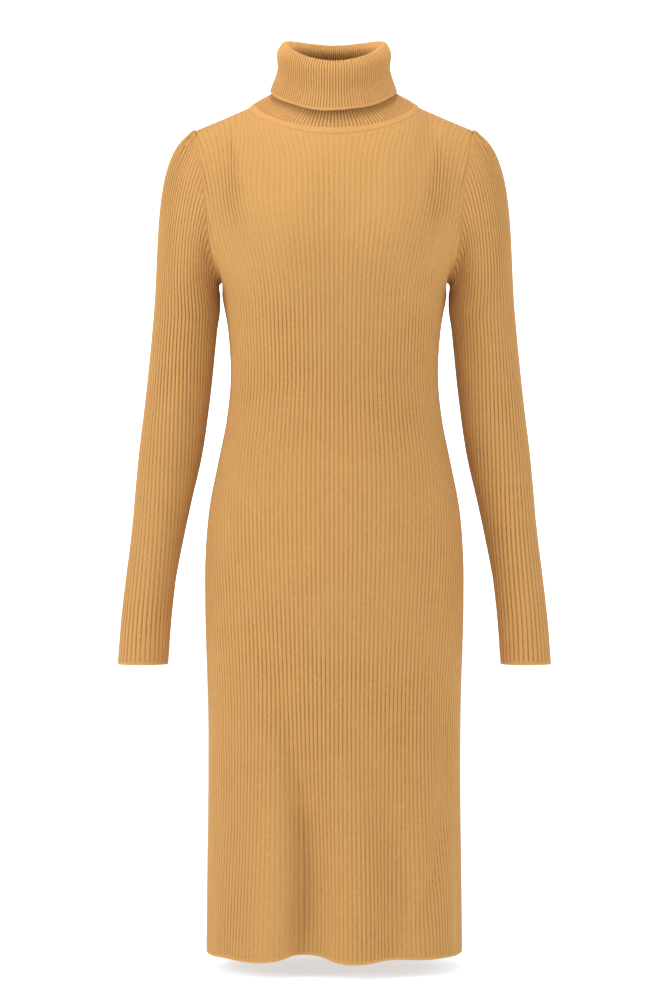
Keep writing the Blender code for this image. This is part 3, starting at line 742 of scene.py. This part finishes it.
def seam_dip(off):
    return SEAM_DIP * hump(off / SEAM_WIDTH)


def clear_of_seams(*offs):
    """How ribbed the knit is at distances from seams, beside which it is plain."""
    return math.prod(ease(off / SEAM_FADE) for off in offs)


def clear_of_edge(off, fade=EDGE_FADE):
    """How ribbed the knit is at distances from a cast-off edge, which is plain."""
    return ease((off - EDGE_PLAIN) / fade)


def lengths(surface):
    """Lengths along the columns of a grid of points."""
    steps = size(np.diff(surface, axis=0))
    return np.concatenate([np.zeros((1, surface.shape[1])), steps.cumsum(0)])


def rib_columns(half_ribs):
    return np.append((np.arange(-half_ribs, half_ribs)[:, None] + RIB_STEPS).ravel(), half_ribs)


def alike(across, values):
    """The same value in a row wherever its columns of points have run together at an end."""
    for end in (0, -1):
        values = np.where(across == across[:, [end]], values[:, [end]], values)
    return values


def yoke_across(side, places, level):
    """Where the yoke's ribs run at a level: evenly apart, and the outermost end on the armhole."""
    out = np.abs(places)
    lost = (YOKE_RIBS - SHOULDER_RIBS) * (level - 2) ** FAN_START
    fanned = out + lost * (out / SHOULDER_RIBS) ** FAN_POWER
    fanned = np.minimum(fanned, YOKE_RIBS) / (PANEL_RIBS / 2)
    fine = np.linspace(0, SHOULDER_SHARE, EVEN_STEPS)
    across = np.gradient(panel_points(side, fine, level), axis=0)
    up = panel_points(side, fine, min(level + NUDGE, 3)) - panel_points(side, fine, level - NUDGE)
    width = size(np.cross(across, unit(up)))
    run = np.append(0, (width[1:] + width[:-1]).cumsum())
    even = np.interp(np.minimum(out / (YOKE_RIBS - lost), 1) * run[-1], run, fine)
    return np.sign(places) * (fanned + (even - fanned) * ease((level - 2) / EVEN_REACH))


def panel_seams(side):
    """Fine points of a panel's seams: armholes, top edge, neck alone and sides."""
    ends = np.array([-1.0, 1.0])
    turn = np.linspace(0, math.pi, ARMHOLE_STEPS)
    arm = np.concatenate([armhole_edge(side, turn, hand)[0] for hand in (-1, 1)])
    top = top_edge(side, np.linspace(-SHOULDER_SHARE, SHOULDER_SHARE, TOP_STEPS))[0]
    neck = top_edge(side, np.linspace(-NECK_SHARE, NECK_SHARE, NECK_STEPS))[0]
    levels = np.append(np.linspace(0, 1, SIDE_STEPS), np.linspace(1, 2, NOTCH_STEPS))
    sides = np.concatenate([panel_points(side, ends, level) for level in levels])
    return arm, top, neck, sides


def make_panel(name, side, finish):
    places = rib_columns(HIP_RIBS // 2)
    middle = np.flatnonzero(np.abs(places) <= YOKE_RIBS)
    first, last = middle[0], middle[-1]

    skirt = np.append(EDGE_ROWS, np.linspace(EVEN_FROM, SKIRT_LENGTH, SKIRT_ROWS)) / SKIRT_LENGTH
    notch = 1 + np.linspace(0, 1, NOTCH_ROWS)[1:-2]
    lower_levels = np.concatenate([skirt, notch, NOTCH_END])
    yoke_levels = np.append(np.linspace(2, 3, YOKE_ROWS + 1)[:-1], YOKE_END)

    off_hem = SKIRT_LENGTH * np.minimum(lower_levels, 1)[:, None]
    ribs = BODY.read("ribs", HEM + off_hem) / MM
    lower_at = 2 * places / ribs
    lower_at = np.where(np.abs(lower_at) > 1 - SIDE_SNAP / ribs, np.sign(lower_at), lower_at)
    yoke_at = np.array([yoke_across(side, places[middle], level) for level in yoke_levels])
    (lower, lower_normal), (yoke, yoke_normal) = (
        grids(panel_surface(side, *row) for row in zip(at, levels))
        for at, levels in ((lower_at, lower_levels), (yoke_at, yoke_levels))
    )

    for hand in (-1, 1):
        beyond = places * hand > YOKE_RIBS
        share = (np.abs(places[beyond]) - YOKE_RIBS) / (PANEL_RIBS / 2 - YOKE_RIBS)
        turn = NOTCH_TURN + (math.pi - NOTCH_TURN) * np.minimum(share, 1)
        lower[-1, beyond], lower_normal[-1, beyond] = armhole_edge(side, turn, hand)[:2]
        for row, level in enumerate(yoke_levels):
            at_edge = yoke_at[row] * hand >= SHOULDER_SHARE
            turn = np.array([NOTCH_TURN * (3 - level)])
            yoke[row, at_edge], yoke_normal[row, at_edge] = armhole_edge(side, turn, hand)[:2]
    top_seam, top_normal = top_edge(side, yoke_at[-1])[:2]
    yoke[-1, 1:-1], yoke_normal[-1] = top_seam[1:-1], top_normal
    for end in (first, last):
        lower[-1, end], lower_normal[-1, end] = yoke[0, end - first], yoke_normal[0, end - first]

    seams = panel_seams(side)

    def relief(place, at, across, off_hem):
        """How far the outer points are raised, how far both sides move, and how ribbed the knit is,
        which also sets how strong the painted shade in its grooves is.
        """
        off_arm, off_top, off_neck, off_side = (distances(place, seam) for seam in seams)
        ribbed = clear_of_seams(off_arm, off_top, off_side) * clear_of_edge(off_hem)
        ribbed = ribbed * ease((off_neck - BAND_LAP + LAP_COVER) / LAP_FADE)
        off_shoulder = off_top + 2 * SEAM_WIDTH * (1 - ease(off_neck / NECK_CLEAR))
        dips = seam_dip(off_arm) + seam_dip(off_shoulder) + SIDE_SEAM_SHARE * seam_dip(off_side)
        full = rib_fullness(place, at)
        lift = RIB_HEIGHT * full * (rib_profile(at) - 0.5) * ribbed - dips + edge_roll(off_hem)
        x, _, z = np.moveaxis(place, -1, 0)
        folds = creases(FRONT_CREASES if side == FRONT else BACK_CREASES, x, z)
        folds += arm_fold(off_arm, off_side, SIDE_REACH, z)
        # Painted groove shade: weaker in a panel's middle, full at its sides where light skims the
        # ribs
        off_middle = np.minimum(np.abs(at) / SIDE_RIBS, 1) ** 2
        shades = MIDDLE_SHADE + (1 - MIDDLE_SHADE) * off_middle
        ribbed = ribbed * full**LINE_FADE * shades
        return (alike(across, values) for values in (lift, folds, ribbed))

    lift, folds, ribbed = relief(lower, places, lower_at, off_hem)
    yoke_lift, yoke_folds, yoke_ribbed = relief(yoke, places[middle], yoke_at, math.inf)
    for whole, part in ((lift, yoke_lift), (folds, yoke_folds), (ribbed, yoke_ribbed)):
        part[0] = whole[-1, first : last + 1]
    lower = lower + lower_normal * folds[..., None]
    yoke = yoke + yoke_normal * yoke_folds[..., None]
    course = lengths(lower)
    yoke_course = course[-1, first : last + 1] + lengths(yoke)

    def lifted(surface, normal, height):
        place = surface + normal * height[..., None]
        place[..., 1] = side * np.maximum(side * place[..., 1], 0)
        return place

    cloth = Cloth()
    wale = off_groove(places)
    outer = cloth.add(lifted(lower, lower_normal, lift), wale, course, ribbed)
    top = lifted(yoke, yoke_normal, yoke_lift)[1:]
    top = cloth.add(top, wale[middle], yoke_course[1:], yoke_ribbed[1:])
    top = np.concatenate([outer[-1:, first : last + 1], top])

    few = (slice(None), slice(None, None, INNER_STEP))
    in_places, in_middle = places[few[1]], places[middle][few[1]]
    in_first, in_last = first // INNER_STEP, last // INNER_STEP

    def lining_of(surface, normal, height):
        return lifted(surface[few], normal[few], np.minimum(height[few], 0) * LINING_DIP - WALL)

    lining = lining_of(lower, lower_normal, lift)
    lining = cloth.add(lining, off_groove(in_places + 0.5), course[few], ribbed[few])
    lining_top = lining_of(yoke, yoke_normal, yoke_lift)[1:]
    lining_top = cloth.add(lining_top, off_groove(in_middle + 0.5), yoke_course[few][1:], 1)
    lining_top = np.concatenate([lining[-1:, in_first : in_last + 1], lining_top])
    for index in (outer, top, lining, lining_top):
        cloth.grid(index)

    rim = lifted(lower[0], lower_normal[0], lift[0] / 2 - WALL / 2) - EDGE_LIP * UP
    rim = cloth.add(rim)
    cloth.strip(outer[0], rim)
    cloth.strip(rim, lining[0], places, in_places)
    for end in (0, -1):
        cloth.strip(outer[:, end], lining[:, end])
        cloth.strip(top[:, end], lining_top[:, end])
        cloth.faces.append((outer[0, end], rim[end], lining[0, end]))
    for run, in_run in (
        (slice(0, first + 1), slice(0, in_first + 1)),
        (slice(last, None), slice(in_last, None)),
    ):
        cloth.strip(outer[-1, run], lining[-1, in_run], places[run], in_places[in_run])
    cloth.strip(top[-1], lining_top[-1], places[middle], in_middle)
    return cloth.finish(name, finish, "body_knit")


def make_sleeve(name, hand, finish):
    places = rib_columns(SLEEVE_RIBS // 2)
    arm = np.append(EDGE_ROWS, np.linspace(EVEN_FROM, ARM_LENGTH, SLEEVE_ROWS)) / ARM_LENGTH
    levels = np.concatenate([arm, 1 + np.linspace(0, 1, CAP_ROWS)[1:-1], CAP_END])

    rows = []
    for level in levels:
        height = CUFF + ARM_LENGTH * min(level, 1)
        around = np.clip(0.5 + places / (SLEEVE.read("ribs", height) / MM), 0, 1)
        share = np.abs(2 * around - 1) ** (1 + RIB_FAN * max(level - 1, 0))
        around = 0.5 + np.sign(around - 0.5) * share / 2
        place, way = sleeve_surface(around, level)
        girth = size(np.diff(place, axis=0)).sum()
        rows.append((place, way, np.minimum(around, 1 - around) * girth))
    surface, normal, off_under = grids(rows)
    surface[-1], normal[-1] = armhole_frame(math.pi * (1 - 2 * around))[:2]
    off_arm = distances(surface, armhole_ring(np.linspace(-math.pi, math.pi, 2 * ARMHOLE_STEPS)))
    off_cuff = ARM_LENGTH * np.minimum(levels, 1)[:, None]

    arc = size(np.diff(surface, axis=1, prepend=surface[:, :1])).cumsum(1)
    arc, z = arc - arc[:, len(places) // 2][:, None], surface[..., 2]
    folds = creases(SLEEVE_CREASES, arc, z) * ease(off_under / CREASE_CLEAR)
    at_head = (np.abs(arc) < TUCK_REACH) & (z > -TUCK_REACH * 2)
    for row in rows_of(HEAD_TUCKS):
        down = off_arm / MM / row["length"]
        off = arc / MM - row["across"] - row["drift"] * down
        folds += row["height"] * MM * hump(off / row["half_width"]) * (1 - ease(down)) * at_head
    folds += arm_fold(off_arm, off_under, UNDER_REACH, z)

    ribbed = clear_of_seams(off_arm, off_under) * clear_of_edge(off_cuff)
    full = rib_fullness(surface, places)
    lift = RIB_HEIGHT * full * (rib_profile(places) - 0.5) * ribbed + edge_roll(off_cuff)
    lift = lift - seam_dip(off_arm) - SIDE_SEAM_SHARE * seam_dip(off_under)
    course = lengths(surface)

    def lifted(height, cut=slice(None)):
        place = surface[:, cut] + normal[:, cut] * (height + folds[:, cut])[..., None]
        return place * [hand, 1, 1]

    cloth = Cloth()
    few = slice(None, None, INNER_STEP)
    outer = cloth.add(lifted(lift), off_groove(places), course, ribbed)
    lining = lifted(np.minimum(lift[:, few], 0) * LINING_DIP - WALL, few)
    lining = cloth.add(lining, off_groove(places[few] + 0.5), course[:, few], ribbed[:, few])
    rim = cloth.add(lifted(lift / 2 - WALL / 2)[0] - EDGE_LIP * UP)
    for index in (outer, lining):
        cloth.grid(index)
    cloth.strip(outer[0], rim)
    cloth.strip(rim, lining[0], places, places[few])
    cloth.strip(outer[-1], lining[-1], places, places[few])
    return cloth.finish(name, finish, "sleeve_knit")


def waves(table, turn):
    return sum(w["height"] * MM * np.sin(w["waves"] * turn + w["start"]) for w in rows_of(table))


def make_collar(name, finish):
    columns = (np.arange(COLLAR_RIBS)[:, None] + COLLAR_STEPS).ravel()
    turn = 2 * math.pi * columns / COLLAR_RIBS
    seam, seam_normal, way_in = neck_frame(turn)
    knots = np.array([seam] + [collar_ring(ring, turn) for ring in rows_of(COLLAR)])
    outwards = unit(points(np.sin(turn), -np.cos(turn), 0))
    for ring, share in enumerate(SWAY_SHARES, 1):
        knots[-ring] += outwards * (share * waves(FOLD_SWAY, turn))[:, None]
    knots[-1, :, 2] += waves(EDGE_SWAY, turn)
    run = np.append(0, size(np.diff(knots, axis=0)).mean(1).cumsum())

    near_edge = run[-1] - EDGE_ROWS[::-1]
    stand = np.linspace(STAND_FROM, near_edge[0] - STAND_TO, COLLAR_ROWS)
    at = np.concatenate([BAND_ROWS, stand, near_edge])
    surface = np.array([smooth(run, knots, a) for a in at])
    ring = np.roll(surface, -1, axis=1) - np.roll(surface, 1, axis=1)
    normal = unit(np.cross(ring, np.gradient(surface, at, axis=0)))
    normal[0] = seam_normal
    lap = seam + way_in * LAP_ROWS[:, None, None]
    surface = np.concatenate([lap, surface])
    normal = np.concatenate([np.broadcast_to(seam_normal, lap.shape), normal])
    at = np.append(LAP_ROWS, at)
    off_seam = at[:, None]
    off_edge = run[-1] - off_seam

    above_band = ease((off_seam - BAND_WIDTH) / BAND_FADE)
    off_rim = clear_of_edge(off_edge, COLLAR_FADE)
    band = BAND_PROUD * (1 - ease((off_seam - BAND_WIDTH + BAND_STEP / 2) / BAND_STEP))
    edge = LAP_EDGE + (1 - LAP_EDGE) * ease((off_seam + BAND_LAP) / LAP_ROUND)
    ribs, worn_ribs = (
        COLLAR_RIB_HEIGHT * (rib_profile(columns + shift, 0) - 0.5) * off_rim for shift in (0, 0.5)
    )
    outer_lift = (WALL / 2 + band) * edge + ribs * above_band + edge_roll(off_edge) / 2
    worn_lift = WALL / 2 + worn_ribs + edge_roll(off_edge)

    cloth = Cloth()
    outer = surface + normal * outer_lift[..., None]
    outer = cloth.add(outer, off_groove(columns), off_seam, above_band * off_rim)
    laps = len(LAP_ROWS)
    inner = (surface - normal * worn_lift[..., None])[laps:]
    inner = cloth.add(inner, off_groove(columns + 0.5), off_seam[laps:], off_rim[laps:])
    rim = cloth.add(surface[-1] + unit(surface[-1] - surface[-2]) * EDGE_LIP)
    lap_foot = cloth.add(surface[0] + normal[0] * LAP_FOOT)
    turned = [np.stack([outer[end], last, inner[end]]) for end, last in ((-1, rim), (0, lap_foot))]
    for index in (outer, inner, *turned):
        cloth.grid(index, closed=True)
    return cloth.finish(name, finish, "collar_knit")


# ---- yarn

STITCH = 1.9 * MM  # height of a stitch
CLOUDS, PATCHES, HEATHER, FLUFF = (7.0, 3.0), (26.0, 2.0), (420.0, 3.0), (1500.0, 2.0)
GROOVE_EDGE, LINE_EDGE = (0.02, 0.3), (0.36, 0.5)  # where on a rib the painted groove shade fades out and that of the middle line fades in
HALF_RIB_SHADE = 0.4  # how much painted shade cloth has where its ribs have half gone and their painted grooves fade
# tones as shares of the crest colour: that painted shade, and the yarn's own clouds and heather
HALF_RIB_TONE, CLOUD_SHADE, HEATHER_SHADE = 0.8, 0.87, 1.18


def new_material(name, **inputs):
    """A new material, and its shader with these inputs."""
    material = bpy.data.materials.new(name)
    material.use_nodes = True
    shader = material.node_tree.nodes["Principled BSDF"]
    for key, value in inputs.items():
        shader.inputs[key.replace("_", " ")].default_value = value
    return material, shader


class Socket:
    """A value in a material's node tree, which the usual operators build on."""

    tree = None

    def __init__(self, socket):
        self.socket = socket

    @classmethod
    def node(cls, kind, settings=(), out=0, **inputs):
        """A new node. Its inputs go by their names, or as i0, i1 and so on by their places."""
        made = cls.tree.nodes.new(kind)
        for key, value in dict(settings).items():
            setattr(made, key, value)
        for key, value in inputs.items():
            by_place = key[0] == "i" and key[1:].isdigit()
            slot = made.inputs[int(key[1:]) if by_place else key.replace("_", " ")]
            if isinstance(value, Socket):
                cls.tree.links.new(value.socket, slot)
            else:
                slot.default_value = value
        return cls(made.outputs[out])

    def maths(self, operation, other=0.0, swap=False):
        first, second = (other, self) if swap else (self, other)
        return Socket.node("ShaderNodeMath", {"operation": operation}, i0=first, i1=second)

    def __add__(self, other):
        return self.maths("ADD", other)

    def __sub__(self, other):
        return self.maths("SUBTRACT", other)

    def __rsub__(self, other):
        return self.maths("SUBTRACT", other, swap=True)

    def __mul__(self, other):
        return self.maths("MULTIPLY", other)

    __radd__, __rmul__ = __add__, __mul__


def blend(share, first, second):
    """A colour on the way from the first to the second."""
    return Socket.node("ShaderNodeMix", {"data_type": "RGBA"}, out=2, i0=share, i6=first, i7=second)


def step(value, low, high):
    """Rises softly from 0 to 1 while a value goes from low to high."""
    settings = {"interpolation_type": "SMOOTHSTEP"}
    return Socket.node("ShaderNodeMapRange", settings, Value=value, From_Min=low, From_Max=high)


def yarn(name, crest, groove, depth, line):
    """Rib knit in a soft matt yarn. Its groove colour is painted shade: depth sets how strong it is
    in the grooves, line how strong on the fine line down each rib's middle.
    """
    sheen = {"Sheen_Weight": 0.1, "Sheen_Roughness": 0.5, "Sheen_Tint": (1.0, 0.88, 0.7, 1)}
    material, shader = new_material(name, Specular_IOR_Level=0.2, **sheen)
    Socket.tree = material.node_tree
    where = Socket.node("ShaderNodeTexCoord", out=3)
    wale, course, ribbed = (
        Socket.node("ShaderNodeAttribute", {"attribute_name": label}, out=2) for label in Cloth.KNIT
    )

    def noise(scale, detail):
        return Socket.node("ShaderNodeTexNoise", Vector=where, Scale=scale, Detail=detail)

    def shade(factor):
        return tuple(min(1, factor * c) for c in crest[:3]) + (1,)

    cloudy, patchy, heather, fluff = (noise(*kind) for kind in (CLOUDS, PATCHES, HEATHER, FLUFF))
    # Painted shade: the groove colour in the grooves and on the line down each rib's middle.
    painted_groove_shade = (1 - step(wale, *GROOVE_EDGE)) * ribbed * (0.4 + 1.1 * patchy) * depth
    painted_line_shade = step(wale, *LINE_EDGE) * ribbed * (0.1 + 1.1 * patchy) * depth
    # Painted shade, evenly darker, where the ribs have half gone and the painted groove shade
    # fades.
    stretched = ribbed * (1 - ribbed) * (4 * HALF_RIB_SHADE)
    base = blend(stretched, crest, shade(HALF_RIB_TONE))
    base = blend(painted_groove_shade, base, groove)
    base = blend(painted_line_shade * line, base, groove)
    base = blend(step(cloudy, 0.4, 0.62) * 0.5, base, shade(CLOUD_SHADE))
    base = blend(step(heather, 0.45, 0.75) * 0.4, base, shade(HEATHER_SHADE))
    slope = (wale * 2 - 0.5).maths("ABSOLUTE")  # stitches lean to both sides of a rib's middle
    stitch = ((course * (1 / STITCH) + slope * 1.3) * (2 * math.pi)).maths("SINE")
    raised = stitch * 0.35 + fluff * 0.8 + heather * 0.4
    bump = Socket.node("ShaderNodeBump", Strength=0.5, Distance=0.3 * MM, Height=raised)
    ends = {"Base Color": base, "Roughness": 0.8 + 0.14 * heather, "Normal": bump}
    for label, value in ends.items():
        Socket.tree.links.new(value.socket, shader.inputs[label])
    return material


# Second colour: painted shade for the grooves; then its strength in the grooves and down rib
# middles
body_yarn = yarn("body_rib_knit", (0.60, 0.320, 0.102, 1), (0.36, 0.160, 0.042, 1), 1.3, 0.35)
sleeve_yarn = yarn("sleeve_rib_knit", (0.59, 0.312, 0.101, 1), (0.32, 0.138, 0.035, 1), 1.1, 0.25)
collar_yarn = yarn("collar_rib_knit", (0.60, 0.310, 0.101, 1), (0.22, 0.088, 0.02, 1), 1.45, 0)


front = make_panel("front_knit", FRONT, body_yarn)
back = make_panel("back_knit", BACK, body_yarn)
sleeve_left = make_sleeve("sleeve_left_knit", -1, sleeve_yarn)
sleeve_right = make_sleeve("sleeve_right_knit", 1, sleeve_yarn)
collar = make_collar("collar_knit_fold", collar_yarn)

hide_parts("front")
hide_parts("back")
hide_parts("sleeve_left")
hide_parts("sleeve_right")
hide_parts("collar")


# ---- studio

FLOOR = -1074 * MM
FLOOR_HALF, FLOOR_FRONT, FLOOR_BACK = 7.0, -7.0, 8.0
BEND, BEND_STEPS, WALL_TOP = 1.5, 24, 6.0
FLOOR_PAPER, WALL_PAPER = (0.74, 0.85, 0.97, 1), (0.9, 0.9, 0.9, 1)
FLOOR_GLOW, WALL_GLOW, SKY_GLOW = 0.6, 1.0, 0.38
CAMERA_PLACE, LENS, SENSOR = (0.002, -3.5, -0.496), 100, 36

LIGHTS = (
    ("name", "place", "aim", "size", "power", "colour"),
    ("key", (-2.6, -1.4, 0.7), (0, 0, -0.5), 2.0, 53, (1, 0.985, 0.96)),
    ("fill", (2.7, -1.8, 0.5), (0, 0, -0.5), 2.6, 39, (1, 1, 1)),
    ("top", (-0.2, -0.9, 2.2), (0, 0, -0.5), 3.0, 20, (1, 1, 1)),
    ("neck", (0, -0.16, 0.45), (0, 0.03, 0.04), 0.2, 1.3, (1, 1, 1)),
)


def make_stage(name, y, z, colour, glow):
    """A sheet of paper right across the studio, lit so brightly that it glows a little."""
    look = {"Base_Color": colour, "Emission_Color": (1, 1, 1, 1), "Emission_Strength": glow}
    paper = new_material(name + "_paper", Roughness=1, Specular_IOR_Level=0, **look)[0]
    vertices = [(x, *at) for at in zip(y, z) for x in (-FLOOR_HALF, FLOOR_HALF)]
    faces = [(i, i + 1, i + 3, i + 2) for i in range(0, len(vertices) - 2, 2)]
    mesh = add_mesh(name, vertices, faces, paper)
    mesh.shade_smooth()
    add_object(name, mesh)


bend = np.linspace(0, math.pi / 2, BEND_STEPS)
wall_y = FLOOR_BACK + BEND * np.append(np.sin(bend), 1)
wall_z = FLOOR + np.append(BEND * (1 - np.cos(bend)), WALL_TOP)
make_stage("studio_floor", (FLOOR_FRONT, FLOOR_BACK), (FLOOR, FLOOR), FLOOR_PAPER, FLOOR_GLOW)
make_stage("studio_backdrop", wall_y, wall_z, WALL_PAPER, WALL_GLOW)

for row in rows_of(LIGHTS):
    lamp = bpy.data.lights.new(row["name"], "AREA")
    lamp.shape, lamp.size = "DISK", row["size"]
    lamp.energy, lamp.color = row["power"], row["colour"]
    light = add_object(row["name"], lamp)
    light.location = row["place"]
    way = Vector(row["aim"]) - light.location
    light.rotation_euler = way.to_track_quat("-Z", "Y").to_euler()

world = bpy.data.worlds.new("studio")
world.use_nodes = True
sky = world.node_tree.nodes["Background"].inputs
sky["Color"].default_value, sky["Strength"].default_value = (1, 1, 1, 1), SKY_GLOW
bpy.context.scene.world = world
bpy.context.scene.view_settings.view_transform = "Standard"

lens = bpy.data.cameras.new("camera")
lens.lens, lens.sensor_width = LENS, SENSOR
camera = add_object("camera", lens)
camera.location, camera.rotation_euler = CAMERA_PLACE, (math.pi / 2, 0, 0)
bpy.context.scene.camera = camera
